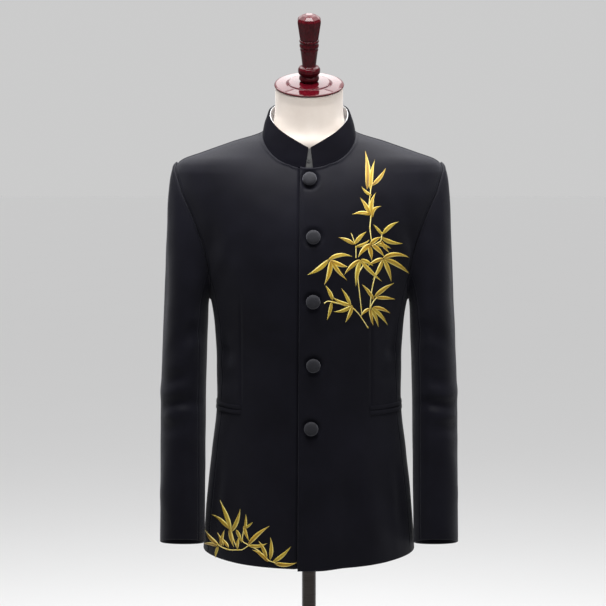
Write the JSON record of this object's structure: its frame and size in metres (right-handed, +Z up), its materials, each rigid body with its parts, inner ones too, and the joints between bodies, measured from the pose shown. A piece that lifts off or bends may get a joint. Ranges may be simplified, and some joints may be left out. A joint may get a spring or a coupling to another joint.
{
  "type": "tang suit jacket on dress form stand",
  "caption": "Black wool tang suit jacket with a stand collar, covered buttons and bamboo embroidery, on a limbless dress form with a lacquered neck cap, steel pole and round base",
  "frame": {"origin": "middle of the base's underside, on the pole's axis", "axes": "+X to the wearer's left, -Y the jacket's front, +Z up along the pole"},
  "size_m": [0.4948, 0.34, 1.435],
  "materials": {
    "wool": "matt, fine nap",
    "lining": "smooth, soft sheen",
    "button_cloth": "matt",
    "hook_metal": "satin",
    "form_cloth": "matt jersey",
    "lacquer": "gloss lacquer",
    "steel": "dark satin"
  },
  "bodies": {
    "root": {"back_left": "wool", "back_right": "wool", "base": "steel", "button_1": "button_cloth", "button_2": "button_cloth", "button_3": "button_cloth", "button_4": "button_cloth", "button_5": "button_cloth", "collar": "wool", "collar_hook": "hook_metal", "collar_lining": "lining", "cuff_button_left": "button_cloth", "cuff_button_right": "button_cloth", "finial_head": "lacquer", "finial_stem": "lacquer", "form_torso": "form_cloth", "front_left": "wool", "front_right": "wool", "neck_cap": "lacquer", "pole": "steel", "side_left": "wool", "side_right": "wool", "top_sleeve_left": "wool", "top_sleeve_right": "wool", "under_sleeve_left": "wool", "under_sleeve_right": "wool", "welt_lower_left": "wool", "welt_lower_right": "wool", "welt_upper_left": "wool", "welt_upper_right": "wool"}
  },
  "joints": []
}
